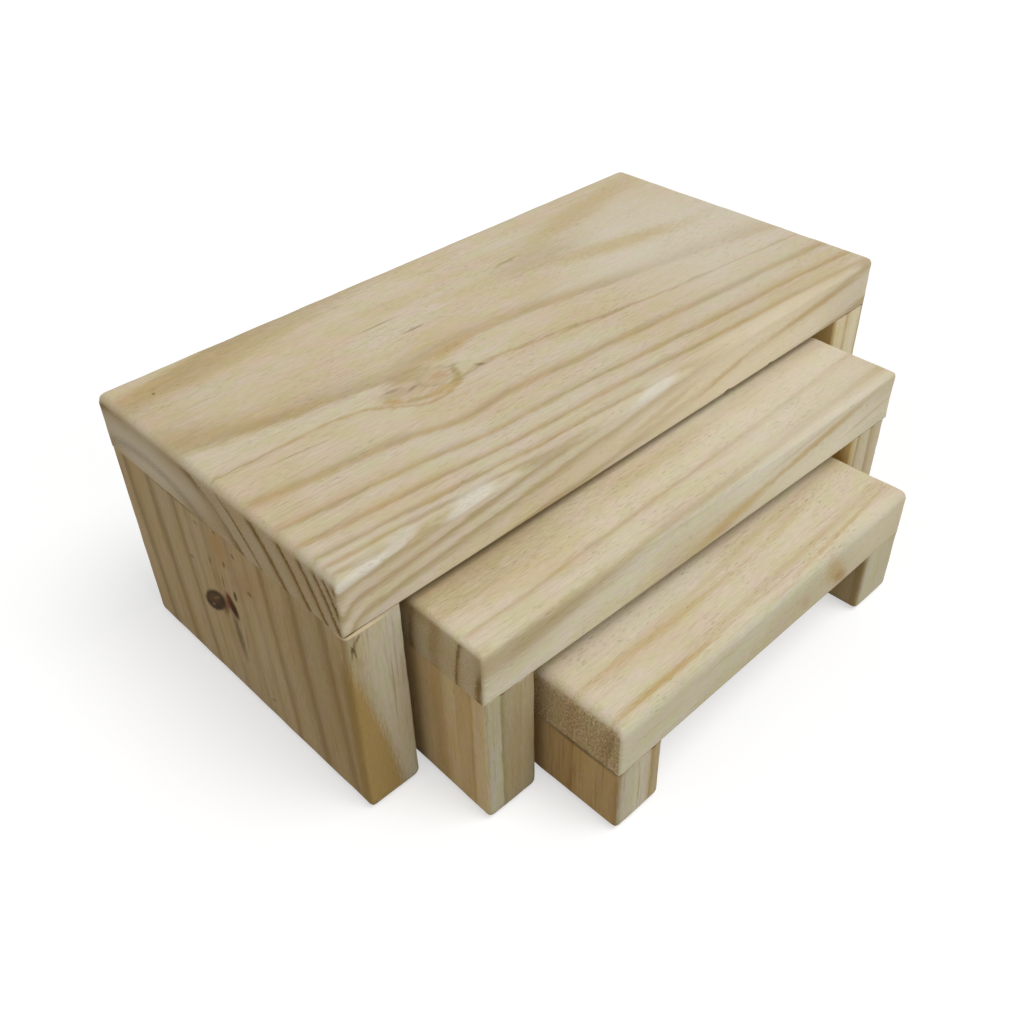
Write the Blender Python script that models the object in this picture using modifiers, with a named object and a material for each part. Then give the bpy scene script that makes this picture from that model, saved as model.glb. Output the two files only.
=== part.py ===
"""Nesting buffet stands: three pine bridges, the smaller two drawn forward out of the larger like stairs.

Each stand is one top board laid across two leg boards and held by glued blind dowels.
Metres, +Z up, +X along the boards, -Y the front. The origin lies on the table, under the middle of the set.
"""

import math

import bmesh
import bpy
from mathutils import Matrix, Vector

# Board stock, shared by every piece
BOARD_THICKNESS = 0.0215
BOARD_WIDTH = 0.140

# The small stand, which the other two are sized to fit over
SMALL_LENGTH = 0.167
SMALL_LEG_HEIGHT = 0.0295

# Room that each stand has inside the next one
SMALL_GAP_LEFT = 0.0049
SMALL_GAP_RIGHT = 0.0041
SMALL_GAP_TOP = 0.0070
MEDIUM_GAP_LEFT = 0.0038
MEDIUM_GAP_RIGHT = 0.0112
MEDIUM_GAP_TOP = 0.0040

# Where the stands are left on the table
SMALL_PULL = 0.0300
MEDIUM_PULL = 0.0336
MEDIUM_TURN = math.radians(-1.27)

# The medium top reaches a little past its right leg
MEDIUM_RIGHT_OVERHANG = 0.0020

# Rounding of the edges that hands and dishes meet
LARGE_TOP_ROUND = 0.0040
MEDIUM_TOP_ROUND = 0.0025
SMALL_TOP_ROUND = 0.0045
CORNER_EASE = 0.0012
FOOT_EASE = 0.0009

# Blind dowels of each leg joint
DOWEL_DIAMETER = 0.008
DOWEL_LENGTH = 0.030
DOWEL_CHAMFER = 0.0010
FLUTE_DEPTH = 0.00035
FLUTE_COUNT = 12
DOWEL_EDGE_DISTANCE = 0.025
HOLE_IN_TOP = 0.013
HOLE_END_ROOM = 0.0010

# Film of glue between pieces
GLUE_GAP = 0.0003

ROUND_SEGMENTS = 4
HOLE_SIDES = 24

# Each stand is built from the one that it covers
SMALL_HEIGHT = SMALL_LEG_HEIGHT + BOARD_THICKNESS
MEDIUM_LENGTH = (SMALL_LENGTH + SMALL_GAP_LEFT + SMALL_GAP_RIGHT
                 + 2 * BOARD_THICKNESS + MEDIUM_RIGHT_OVERHANG)
MEDIUM_HEIGHT = SMALL_HEIGHT + SMALL_GAP_TOP + BOARD_THICKNESS
LARGE_LENGTH = MEDIUM_LENGTH + MEDIUM_GAP_LEFT + MEDIUM_GAP_RIGHT + 2 * BOARD_THICKNESS
LARGE_HEIGHT = MEDIUM_HEIGHT + MEDIUM_GAP_TOP + BOARD_THICKNESS

# Middle of each stand's front edge on the table
LARGE_FRONT = (MEDIUM_PULL + SMALL_PULL - BOARD_WIDTH) / 2
MEDIUM_FRONT = LARGE_FRONT - MEDIUM_PULL
SMALL_FRONT = MEDIUM_FRONT - SMALL_PULL
LARGE_LEFT = -LARGE_LENGTH / 2
MEDIUM_LEFT = LARGE_LEFT + BOARD_THICKNESS + MEDIUM_GAP_LEFT
SMALL_LEFT = MEDIUM_LEFT + BOARD_THICKNESS + SMALL_GAP_LEFT

HOLE_IN_LEG = DOWEL_LENGTH + 2 * HOLE_END_ROOM - HOLE_IN_TOP - GLUE_GAP
DOWEL_PLACES = {
    "front": DOWEL_EDGE_DISTANCE,
    "middle": BOARD_WIDTH / 2,
    "back": BOARD_WIDTH - DOWEL_EDGE_DISTANCE,
}


def clear_scene():
    for item in list(bpy.data.objects):
        bpy.data.objects.remove(item, do_unlink=True)


def new_collection(name):
    collection = bpy.data.collections.new(name)
    bpy.context.scene.collection.children.link(collection)
    return collection


def new_object(name, mesh, collection, parent):
    item = bpy.data.objects.new(name, mesh)
    collection.objects.link(item)
    item.parent = parent
    return item


def wood(name, colour, roughness):
    material = bpy.data.materials.new(name)
    material.use_nodes = True
    shader = material.node_tree.nodes["Principled BSDF"]
    shader.inputs["Base Color"].default_value = (*colour, 1.0)
    shader.inputs["Roughness"].default_value = roughness
    shader.inputs["Metallic"].default_value = 0.0
    return material


def box_mesh(name, low, high):
    """A plain box between two corners."""
    low, high = Vector(low), Vector(high)
    shape = bmesh.new()
    bmesh.ops.create_cube(shape, size=1.0)
    stretch = Matrix.Diagonal((*(high - low), 1.0))
    bmesh.ops.transform(shape, matrix=Matrix.Translation((low + high) / 2) @ stretch, verts=shape.verts)
    mesh = bpy.data.meshes.new(name)
    shape.to_mesh(mesh)
    shape.free()
    return mesh


def round_edges(item, radius_of_edge):
    """Round each straight edge of a box by the radius that radius_of_edge gives for its middle and direction."""
    mesh = item.data
    centre = sum((v.co for v in mesh.vertices), Vector()) / len(mesh.vertices)
    radii = []
    for edge in mesh.edges:
        start, end = (mesh.vertices[i].co for i in edge.vertices)
        radii.append(radius_of_edge((start + end) / 2 - centre, (end - start).normalized()))
    widest = max(radii)
    weights = mesh.attributes.new("bevel_weight_edge", "FLOAT", "EDGE")
    for weight, radius in zip(weights.data, radii):
        weight.value = radius / widest
    bevel = item.modifiers.new("eased_edges", "BEVEL")
    bevel.limit_method = "WEIGHT"
    bevel.width = widest
    bevel.segments = ROUND_SEGMENTS


def smooth(item, angle=math.radians(30)):
    item.data.shade_smooth()
    item.data.set_sharp_from_angle(angle=angle)


def hole_cutter(name, centre, seam, collection, parent):
    """The drill's path for one dowel, through the seam into both boards."""
    low = seam - GLUE_GAP - HOLE_IN_LEG
    high = seam + HOLE_IN_TOP
    shape = bmesh.new()
    bmesh.ops.create_cone(
        shape,
        cap_ends=True,
        segments=HOLE_SIDES,
        radius1=DOWEL_DIAMETER / 2 + GLUE_GAP,
        radius2=DOWEL_DIAMETER / 2 + GLUE_GAP,
        depth=high - low,
        matrix=Matrix.Translation((centre[0], centre[1], (low + high) / 2)),
    )
    mesh = bpy.data.meshes.new(name)
    shape.to_mesh(mesh)
    shape.free()
    item = new_object(name, mesh, collection, parent)
    item.hide_render = True
    item.display_type = "WIRE"
    return item


def bore(item, cutters):
    for cutter in cutters:
        cut = item.modifiers.new(cutter.name, "BOOLEAN")
        cut.operation = "DIFFERENCE"
        cut.solver = "EXACT"
        cut.object = cutter


def dowel_mesh():
    """A straight-fluted pin with chamfered ends, standing on its own centre."""
    radius = DOWEL_DIAMETER / 2
    shape = bmesh.new()
    bmesh.ops.create_cone(
        shape,
        cap_ends=True,
        segments=2 * FLUTE_COUNT,
        radius1=radius,
        radius2=radius,
        depth=DOWEL_LENGTH - 2 * DOWEL_CHAMFER,
    )
    groove = math.pi / FLUTE_COUNT
    for vertex in shape.verts:
        turn = math.atan2(vertex.co.y, vertex.co.x) / groove
        if round(turn) % 2:
            vertex.co.xy *= (radius - FLUTE_DEPTH) / radius
    caps = [face for face in shape.faces if abs(face.normal.z) > 0.5]
    for cap in bmesh.ops.extrude_discrete_faces(shape, faces=caps)["faces"]:
        rise = math.copysign(DOWEL_CHAMFER, cap.normal.z)
        for vertex in cap.verts:
            vertex.co.xy = vertex.co.xy.normalized() * (radius - DOWEL_CHAMFER)
            vertex.co.z += rise
    mesh = bpy.data.meshes.new("fluted_dowel")
    shape.to_mesh(mesh)
    shape.free()
    return mesh


def top_board(stand, length, height, round_over, parent, parts):
    """The top lies over both legs. Its upper rim is rounded and its corners eased."""
    item = new_object(
        f"{stand}_top",
        box_mesh(f"{stand}_top", (0, 0, height - BOARD_THICKNESS), (length, BOARD_WIDTH, height)),
        parts,
        parent,
    )

    def radius(middle, direction):
        if abs(direction.z) > 0.5:
            return CORNER_EASE
        return round_over if middle.z > 0 else 0.0

    round_edges(item, radius)
    return item


def leg_board(stand, side, left, height, parent, parts):
    """A leg stands on its end grain. Its corners and its foot are eased, and its upper end stays square."""
    item = new_object(
        f"{stand}_{side}_leg",
        box_mesh(
            f"{stand}_{side}_leg",
            (left, 0, 0),
            (left + BOARD_THICKNESS, BOARD_WIDTH, height - BOARD_THICKNESS - GLUE_GAP),
        ),
        parts,
        parent,
    )

    def radius(middle, direction):
        if abs(direction.z) > 0.5:
            return CORNER_EASE
        return FOOT_EASE if middle.z < 0 else 0.0

    round_edges(item, radius)
    return item


def build_stand(stand, length, height, right_overhang, round_over, place, parts, cutters, pin, colours):
    """One bridge: top, two legs and the dowels of both joints, under an empty at its front left foot."""
    corner = bpy.data.objects.new(f"{stand}_stand", None)
    parts.objects.link(corner)
    corner.location = place["location"]
    corner.rotation_euler.z = place["turn"]

    top = top_board(stand, length, height, round_over, corner, parts)
    top.data.materials.append(wood(f"{stand}_top_pine", colours["top"], 0.55))
    seam = height - BOARD_THICKNESS
    leg_left_edges = {"left": 0.0, "right": length - right_overhang - BOARD_THICKNESS}
    for side, left in leg_left_edges.items():
        leg = leg_board(stand, side, left, height, corner, parts)
        leg.data.materials.append(wood(f"{stand}_{side}_leg_pine", colours["leg"], 0.6))
        holes = []
        for where, across in DOWEL_PLACES.items():
            centre = (left + BOARD_THICKNESS / 2, across)
            holes.append(hole_cutter(f"{stand}_{side}_hole_{where}", centre, seam, cutters, corner))
            dowel = new_object(f"{stand}_{side}_dowel_{where}", pin, parts, corner)
            bottom = seam - GLUE_GAP - HOLE_IN_LEG + HOLE_END_ROOM
            dowel.location = (*centre, bottom + DOWEL_LENGTH / 2)
        bore(leg, holes)
        bore(top, holes)
        smooth(leg)
    smooth(top)


def main():
    clear_scene()
    parts = new_collection("nesting_buffet_stands")
    cutters = new_collection("dowel_hole_cutters")
    pin = dowel_mesh()
    pin.materials.append(wood("beech_dowel", (0.62, 0.43, 0.26), 0.6))

    build_stand(
        "large", LARGE_LENGTH, LARGE_HEIGHT, 0.0, LARGE_TOP_ROUND,
        {"location": (LARGE_LEFT, LARGE_FRONT, 0), "turn": 0.0},
        parts, cutters, pin, {"top": (0.63, 0.49, 0.29), "leg": (0.50, 0.36, 0.19)},
    )
    # The medium stand is turned about the middle of its front edge
    swing = Matrix.Rotation(MEDIUM_TURN, 3, "Z") @ Vector((-MEDIUM_LENGTH / 2, 0, 0))
    middle = Vector((MEDIUM_LEFT + MEDIUM_LENGTH / 2, MEDIUM_FRONT, 0))
    build_stand(
        "medium", MEDIUM_LENGTH, MEDIUM_HEIGHT, MEDIUM_RIGHT_OVERHANG, MEDIUM_TOP_ROUND,
        {"location": middle + swing, "turn": MEDIUM_TURN},
        parts, cutters, pin, {"top": (0.66, 0.51, 0.31), "leg": (0.52, 0.38, 0.21)},
    )
    build_stand(
        "small", SMALL_LENGTH, SMALL_HEIGHT, 0.0, SMALL_TOP_ROUND,
        {"location": (SMALL_LEFT, SMALL_FRONT, 0), "turn": 0.0},
        parts, cutters, pin, {"top": (0.67, 0.53, 0.33), "leg": (0.52, 0.37, 0.20)},
    )


main()
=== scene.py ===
# %% [markdown]
# # A nest of three pine stands
# The object is a set of three low bridges cut from one width of pine board. Each bridge is a top board
# on two leg boards, glued and dowelled, and the smaller ones slide out from under the larger like stairs.
# The solids already hold every size and every joint. This lesson dresses them: it models each board again
# with the softened edges, dents and chips of hand-sanded timber, and grows a pine grain through it in three
# dimensions, so that the rings on the ends run on into the lines along the faces.

# %% Load the solids
import bpy
import math
from mathutils import Matrix, Vector


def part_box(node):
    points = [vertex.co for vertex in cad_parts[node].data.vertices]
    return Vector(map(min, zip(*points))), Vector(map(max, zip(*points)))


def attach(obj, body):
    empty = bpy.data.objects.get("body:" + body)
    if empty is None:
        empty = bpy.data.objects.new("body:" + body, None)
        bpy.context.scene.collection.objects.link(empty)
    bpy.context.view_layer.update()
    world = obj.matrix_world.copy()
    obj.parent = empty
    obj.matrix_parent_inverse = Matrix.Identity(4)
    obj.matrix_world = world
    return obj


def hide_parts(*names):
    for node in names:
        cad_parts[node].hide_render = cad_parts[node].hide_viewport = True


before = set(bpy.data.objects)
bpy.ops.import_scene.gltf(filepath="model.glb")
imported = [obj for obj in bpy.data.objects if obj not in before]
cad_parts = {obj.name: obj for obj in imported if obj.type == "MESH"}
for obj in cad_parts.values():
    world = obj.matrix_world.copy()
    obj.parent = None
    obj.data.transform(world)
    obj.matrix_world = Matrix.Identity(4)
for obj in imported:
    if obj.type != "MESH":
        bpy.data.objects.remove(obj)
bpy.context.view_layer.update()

# %% [markdown]
# ## The camera
# A photograph fixes its own viewpoint: the corners of the boards, whose sizes are known, give one place,
# one direction and one focal length that make them land where they do. Those seven numbers are written here
# once. The camera stands in front of the left end, looks down at about 39 degrees, and is rolled by a hair.

# %% Place the camera
CAMERA_PLACE = (-0.25216, -0.22983, 0.30662)
CAMERA_YAW = math.radians(-43.357)
CAMERA_PITCH = math.radians(-39.27)
CAMERA_ROLL = math.radians(-1.453)
CAMERA_LENS = 37.503
CAMERA_SENSOR = 36.0
CAMERA_NEAR = 0.01

scene = bpy.context.scene
camera_data = bpy.data.cameras.new("camera")
camera_data.lens = CAMERA_LENS
camera_data.sensor_width = CAMERA_SENSOR
camera_data.clip_start = CAMERA_NEAR
camera = bpy.data.objects.new("camera", camera_data)
scene.collection.objects.link(camera)
camera.matrix_world = (
    Matrix.Translation(CAMERA_PLACE)
    @ Matrix.Rotation(CAMERA_YAW, 4, "Z")
    @ Matrix.Rotation(math.radians(90) + CAMERA_PITCH, 4, "X")
    @ Matrix.Rotation(CAMERA_ROLL, 4, "Z")
)
scene.camera = camera
scene.view_settings.view_transform = "Standard"
print("camera looks along", (camera.matrix_world.to_3x3() @ Vector((0, 0, -1)))[:])

# %% [markdown]
# ## A class for shader arithmetic
# A grain is a formula: how far a point lies from the heart of the tree, which year's ring that is, and how
# far through the year it falls. Linking Math nodes by hand hides such a formula, so this small class wraps a
# socket and turns ordinary arithmetic into nodes. Anything that isn't arithmetic comes from its node method.

# %% A value that writes its own nodes
class Shade:
    """A value inside a material. Arithmetic on it adds Math nodes to that material."""

    def __init__(self, tree, socket=None):
        self.tree = tree
        self.socket = socket

    def node(self, kind, settings=None, inputs=None, output=0):
        """Adds one node, sets its settings, then gives its sockets values or links."""
        made = self.tree.nodes.new(kind)
        for key, value in (settings or {}).items():
            if key == "stops":
                set_stops(made.color_ramp, value)
            elif key == "points":
                set_points(made.mapping, value)
            else:
                setattr(made, key, value)
        for key, value in (inputs or {}).items():
            if isinstance(value, Shade):
                self.tree.links.new(value.socket, made.inputs[key])
            else:
                made.inputs[key].default_value = value
        return Shade(self.tree, made.outputs[output])

    def math(self, operation, first, second=0.0):
        return self.node("ShaderNodeMath", {"operation": operation}, {0: first, 1: second})

    def __add__(self, other):
        return self.math("ADD", self, other)

    def __sub__(self, other):
        return self.math("SUBTRACT", self, other)

    def __rsub__(self, other):
        return self.math("SUBTRACT", other, self)

    def __mul__(self, other):
        return self.math("MULTIPLY", self, other)

    def __truediv__(self, other):
        return self.math("DIVIDE", self, other)

    def __rtruediv__(self, other):
        return self.math("DIVIDE", other, self)

    def __pow__(self, other):
        return self.math("POWER", self, other)

    def __neg__(self):
        return self.math("MULTIPLY", self, -1.0)

    def __abs__(self):
        return self.math("ABSOLUTE", self)

    __radd__ = __add__
    __rmul__ = __mul__

    def root(self):
        return self.math("SQRT", self)

    def fraction(self):
        return self.math("FRACT", self)

    def bell(self):
        """1 where this value is 0, falling away smoothly on both sides."""
        return self.math("EXPONENT", -(self * self))

    def most(self, other):
        return self.math("MAXIMUM", self, other)

    def least(self, other):
        return self.math("MINIMUM", self, other)

    def rise(self, low, high):
        """0 below low, 1 above high, and a smooth step between them."""
        return self.node(
            "ShaderNodeMapRange",
            {"interpolation_type": "SMOOTHSTEP"},
            {"Value": self, "From Min": low, "From Max": high},
        )

    def split(self):
        """The three numbers of a vector."""
        parts = self.node("ShaderNodeSeparateXYZ", None, {0: self})
        node = parts.socket.node
        return [Shade(self.tree, node.outputs[i]) for i in range(3)]

    def vector(self, x, y, z):
        return self.node("ShaderNodeCombineXYZ", None, {0: x, 1: y, 2: z})

    def noise(self, x, y, z, detail=2.0, roughness=0.5):
        """Soft noise between 0 and 1. The three numbers are already divided by the size of a blotch."""
        place = self.vector(x, y, z)
        sockets = {"Vector": place, "Scale": 1.0, "Detail": detail, "Roughness": roughness}
        return self.node("ShaderNodeTexNoise", {"noise_dimensions": "3D"}, sockets)

    def blend(self, amount, first, second, how="MIX"):
        """Colours, mixed by an amount."""
        settings = {"data_type": "RGBA", "blend_type": how}
        return self.node("ShaderNodeMix", settings, {0: amount, 6: first, 7: second}, output=2)


def set_stops(ramp, stops):
    """Writes (place, colour) stops into a colour ramp that starts with two of its own."""
    while len(ramp.elements) > 1:
        ramp.elements.remove(ramp.elements[-1])
    for index, (place, colour) in enumerate(stops):
        stop = ramp.elements[0] if index == 0 else ramp.elements.new(place)
        stop.position = place
        stop.color = colour


def set_points(mapping, points):
    """Writes (in, out) points, joined by straight stretches, into a Float Curve that starts with two."""
    curve = mapping.curves[0]
    for index, (place, value) in enumerate(points):
        if index < 2:
            curve.points[index].location = (place, value)
        else:
            curve.points.new(place, value)
    for point in curve.points:
        point.handle_type = "VECTOR"
    mapping.update()


def srgb(red, green, blue):
    """A screen colour from 0 to 255 as the linear colour that a shader takes."""
    def linear(value):
        value /= 255
        return value / 12.92 if value <= 0.04045 else ((value + 0.055) / 1.055) ** 2.4
    return (linear(red), linear(green), linear(blue), 1.0)


print("screen white is", srgb(255, 255, 255))

# %% [markdown]
# ## Floor, light and background
# The stands were photographed in soft daylight from above, a little from the front and the right. Tops and
# fronts are almost equally bright, left ends are less than half as bright, and the slits under the upper
# boards are dark. One wide steep sun gives the dark slits, and two weaker low ones and an even sky fill the
# upright faces. The floor is white to the camera and a dull warm grey to the light that bounces, so it
# stays a clean page.

# %% Light and floor
SKY_LEVEL = 0.28
LIGHTS = {
    "window": (1.82, (0.20, -0.36, 0.91), 36, (1.0, 0.985, 0.955)),
    "near_wall": (1.10, (0.25, -0.95, 0.15), 60, (1.0, 0.985, 0.955)),
    "far_wall": (0.62, (-0.94, 0.10, 0.32), 80, (1.0, 0.98, 0.95)),
}
FLOOR_SIZE = 30.0
FLOOR_SEEN = (0.51, 0.52, 0.53, 1)
FLOOR_LIFT = 0.55
FLOOR_BOUNCE = (0.34, 0.28, 0.20, 1)


def seen_directly(tree):
    """1 for a ray that shows the surface to the camera, also by a mirror or glass, and 0 for the rest."""
    def ray(name):
        return Shade(tree).node("ShaderNodeLightPath", output=name)
    return ray("Is Camera Ray").most(ray("Is Glossy Ray")).most(ray("Is Transmission Ray"))


world = bpy.data.worlds.new("soft_sky")
world.use_nodes = True
scene.world = world
sky = world.node_tree
direct = seen_directly(sky)
backdrop = direct.node("ShaderNodeBackground", None, {"Color": (1, 1, 1, 1), "Strength": 1.0})
glow = direct.node("ShaderNodeBackground", None, {"Color": (1.0, 0.99, 0.97, 1), "Strength": SKY_LEVEL})
mixed = direct.node("ShaderNodeMixShader", None, {0: direct, 1: glow, 2: backdrop})
sky.links.new(mixed.socket, sky.nodes["World Output"].inputs["Surface"])

for name, (level, source, spread, tint) in LIGHTS.items():
    sun = bpy.data.lights.new(name, "SUN")
    sun.energy = level
    sun.angle = math.radians(spread)
    sun.color = tint
    lamp = bpy.data.objects.new(name, sun)
    lamp.rotation_euler = Vector(source).to_track_quat("Z", "Y").to_euler()
    scene.collection.objects.link(lamp)

bpy.ops.object.select_all(action="DESELECT")
bpy.ops.mesh.primitive_plane_add(size=FLOOR_SIZE, location=(0, 0, 0))
floor = bpy.context.object
floor.name = "floor"
floor_finish = bpy.data.materials.new("white_page")
floor_finish.use_nodes = True
page = floor_finish.node_tree
shown = seen_directly(page)
white = shown.node("ShaderNodeBsdfDiffuse", None, {"Color": FLOOR_SEEN})
lift = shown.node("ShaderNodeEmission", None, {"Color": (1, 1, 1, 1), "Strength": FLOOR_LIFT})
lit_page = shown.node("ShaderNodeAddShader", None, {0: white, 1: lift})
grey = shown.node("ShaderNodeBsdfDiffuse", None, {"Color": FLOOR_BOUNCE})
both = shown.node("ShaderNodeMixShader", None, {0: shown, 1: grey, 2: lit_page})
page.links.new(both.socket, page.nodes["Material Output"].inputs["Surface"])
floor.data.materials.append(floor_finish)
print(len(LIGHTS), "lights and a white page")

# %% [markdown]
# ## Boards in their own square frame
# The large and the small stand are square to the room, but the medium one was set down a degree askew. It
# is easier to model its boards square and turn them at the end, so each board's box is measured with its
# stand turned back. The same turn then goes into the Mapping node of the board's finish. The solids leave a
# film of glue between a leg and its top. Where no open seam shows in the photograph, the glue was squeezed
# out, so there the leg reaches further up.

# %% Measure each board
MILLIMETRES = 1000.0
MEDIUM_TURN = math.radians(-1.27)
TURNS = {"large": 0.0, "medium": MEDIUM_TURN, "small": 0.0}
BOARDS = ("top", "left_leg", "right_leg")
SQUEEZED = 0.00026
OPEN_SEAMS = {("small", "left_leg")}


def square_box(node, turn):
    """Lowest and highest corner of a solid after its stand is turned back square."""
    back = Matrix.Rotation(-turn, 3, "Z")
    points = [back @ vertex.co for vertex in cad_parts[node].data.vertices]
    low = Vector(min(p[i] for p in points) for i in range(3))
    high = Vector(max(p[i] for p in points) for i in range(3))
    return low, high


boxes = {}
for stand, turn in TURNS.items():
    for board in BOARDS:
        low, high = square_box(f"{stand}_{board}", turn)
        if board != "top" and (stand, board) not in OPEN_SEAMS:
            high.z += SQUEEZED
        boxes[stand, board] = low, high
        print(stand, board, [round(MILLIMETRES * size, 2) for size in high - low], "mm")

# %% [markdown]
# ## From a sawn blank to a sanded board
# A board starts as a sawn blank: a cube at its size and place. Then come the maker's own steps. A router or
# a sanding block rounds the upper rim, and fine paper takes the sharpness off the other edges that a hand
# can reach. Edges that are glued to another board stay crisp, which is why the seams show as thin lines. The
# Bevel modifier reads how much to take from a weight on each edge, so one pass rounds them all, and the
# corners where a wide round meets a narrow one come out as they do under sandpaper.

# %% Blank and rounded edges
ROUND_STEPS = 6
TOUCHING = 1e-6


def start_blank(name, low, high):
    """A sawn blank: a cube of the board's size, with its place in its mesh."""
    bpy.ops.object.select_all(action="DESELECT")
    bpy.ops.mesh.primitive_cube_add(size=1, location=(low + high) / 2, scale=high - low)
    board = bpy.context.object
    board.name = name
    board.data.name = name
    bpy.ops.object.transform_apply(location=True, rotation=True, scale=True)
    return board


def select_only(board):
    """Makes a board the one selected and active object."""
    bpy.ops.object.select_all(action="DESELECT")
    board.select_set(True)
    bpy.context.view_layer.objects.active = board


def apply_modifiers(board):
    """Applies a board's modifiers in their order."""
    select_only(board)
    for modifier in list(board.modifiers):
        bpy.ops.object.modifier_apply(modifier=modifier.name)


def edge_sides(board, edge, low, high):
    """The two box faces that an edge of the blank lies between, such as {"left", "upper"}."""
    first, second = (board.data.vertices[i].co for i in edge.vertices)
    middle = (first + second) / 2
    names = (("left", "right"), ("front", "back"), ("lower", "upper"))
    sides = set()
    for axis, (below, above) in enumerate(names):
        if abs(middle[axis] - low[axis]) < TOUCHING:
            sides.add(below)
        if abs(middle[axis] - high[axis]) < TOUCHING:
            sides.add(above)
    return sides


def round_edges(board, low, high, radius_of):
    """Rounds each edge by radius_of(sides), in one pass."""
    weights = board.data.attributes.new("bevel_weight_edge", "FLOAT", "EDGE")
    radii = [radius_of(edge_sides(board, edge, low, high)) for edge in board.data.edges]
    widest = max(radii)
    for edge, radius in zip(board.data.edges, radii):
        weights.data[edge.index].value = radius / widest
    bevel = board.modifiers.new("sanded_edges", "BEVEL")
    bevel.limit_method = "WEIGHT"
    bevel.width = widest
    bevel.segments = ROUND_STEPS
    bevel.use_clamp_overlap = False
    apply_modifiers(board)


FRONT_ROUND = {"large": 0.0028, "medium": 0.0021, "small": 0.0042}
RIM_ROUND = {"large": 0.0034, "medium": 0.0024, "small": 0.0045}
BACK_ROUND = 0.0038
CORNER_EASE = 0.0015
FOOT_EASE = 0.0034
HEEL_ROUND = 0.0060
ARRIS_EASE = 0.0005
GLUED_EASE = 0.0


def top_radius(stand):
    """Rounding of a top board: wide on the upper rim, small on the ends' corners and the lower arrises."""
    def radius_of(sides):
        if "upper" in sides:
            return (FRONT_ROUND if "front" in sides else RIM_ROUND)[stand]
        if "lower" in sides:
            return ARRIS_EASE if sides & {"front", "back"} else GLUED_EASE
        return BACK_ROUND if "back" in sides else CORNER_EASE
    return radius_of


def leg_radius(outer):
    """Rounding of a leg board: its upper end is glued, its heel and its outer back edge are worn round."""
    def radius_of(sides):
        if "upper" in sides:
            return GLUED_EASE
        if "lower" in sides:
            return HEEL_ROUND if "back" in sides else FOOT_EASE
        return BACK_ROUND if sides == {outer, "back"} else CORNER_EASE
    return radius_of


blanks = {}
for (stand, board), (low, high) in boxes.items():
    blank = start_blank(f"{stand}_{board}_board", low, high)
    round_edges(blank, low, high, top_radius(stand) if board == "top" else leg_radius(board.split("_")[0]))
    blanks[stand, board] = blank
print(len(blanks), "boards with rounded edges")

# %% [markdown]
# ## A mesh fine enough to wear
# A rounded blank has only a few faces, and a dent needs points to move. Every edge that runs the length of
# the board is cut by the same number, then every edge across it, then every edge through its thickness,
# which leaves an even net of small squares with the rounds intact.

# %% Cut the net
NET_SIZE = 0.0025
LONG_SHARE = 0.6
STRAIGHT_SHARE = 0.99


def cut_along(board, axis, length):
    """Cuts every edge that runs along one axis for most of the board's length, into NET_SIZE pieces."""
    select_only(board)
    bpy.ops.object.mode_set(mode="EDIT")
    bpy.ops.mesh.select_mode(type="EDGE")
    bpy.ops.mesh.select_all(action="DESELECT")
    bpy.ops.object.mode_set(mode="OBJECT")
    for edge in board.data.edges:
        first, second = (board.data.vertices[i].co for i in edge.vertices)
        run = second - first
        edge.select = abs(run[axis]) > max(LONG_SHARE * length, STRAIGHT_SHARE * run.length)
    bpy.ops.object.mode_set(mode="EDIT")
    bpy.ops.mesh.subdivide(number_cuts=max(1, round(length / NET_SIZE) - 1))
    bpy.ops.object.mode_set(mode="OBJECT")


for key, board in blanks.items():
    low, high = boxes[key]
    for axis in range(3):
        cut_along(board, axis, (high - low)[axis])
print("net of", sum(len(board.data.polygons) for board in blanks.values()), "faces")

# %% [markdown]
# ## Hand-sanded, knocked about
# No sanded board is flat to a hair, and no rounded edge is even. Two Displace modifiers do what the sanding
# block did: a slow swell of a tenth of a millimetre over the faces, and a quicker, mostly inward wear that a
# vertex group holds to the edges. Undersides and glued ends stay flat, for both groups give them no weight.

# %% Wear
SWELL = 0.00022
SWELL_LENGTH = 0.045
SWELL_MIDDLE = 0.5
EDGE_WEAR = 0.00055
EDGE_WEAR_LENGTH = 0.011
EDGE_WEAR_MIDDLE = 0.62
EDGE_BAND = 0.0045
FLAT_BAND = 0.0012


def worn_group(board, low, high, is_top):
    """Vertex groups for the open faces and for the edges. Undersides and glued ends have no weight."""
    faces = board.vertex_groups.new(name="faces")
    edges = board.vertex_groups.new(name="edges")
    for vertex in board.data.vertices:
        gaps = sorted(min(vertex.co[i] - low[i], high[i] - vertex.co[i]) for i in range(3))
        flat = vertex.co.z < low.z + FLAT_BAND or (not is_top and vertex.co.z > high.z - FLAT_BAND)
        near_edge = max(0.0, 1 - gaps[1] / EDGE_BAND)
        faces.add([vertex.index], 0.0 if flat else 1.0, "REPLACE")
        edges.add([vertex.index], 0.0 if flat else near_edge, "REPLACE")


def wear(board, group, texture, strength, middle):
    """Moves the points of a vertex group out and in by a texture, whose middle value moves nothing."""
    displace = board.modifiers.new(texture.name, "DISPLACE")
    displace.vertex_group = group
    displace.texture = texture
    displace.texture_coords = "LOCAL"
    displace.strength = strength
    displace.mid_level = middle


swell_texture = bpy.data.textures.new("sanding_swell", "CLOUDS")
swell_texture.noise_scale = SWELL_LENGTH
wear_texture = bpy.data.textures.new("edge_wear", "CLOUDS")
wear_texture.noise_scale = EDGE_WEAR_LENGTH
for (stand, part), board in blanks.items():
    low, high = boxes[stand, part]
    worn_group(board, low, high, part == "top")
    wear(board, "faces", swell_texture, SWELL, SWELL_MIDDLE)
    wear(board, "edges", wear_texture, EDGE_WEAR, EDGE_WEAR_MIDDLE)
    apply_modifiers(board)
    board.vertex_groups.clear()
print("worn", len(blanks), "boards")

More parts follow.
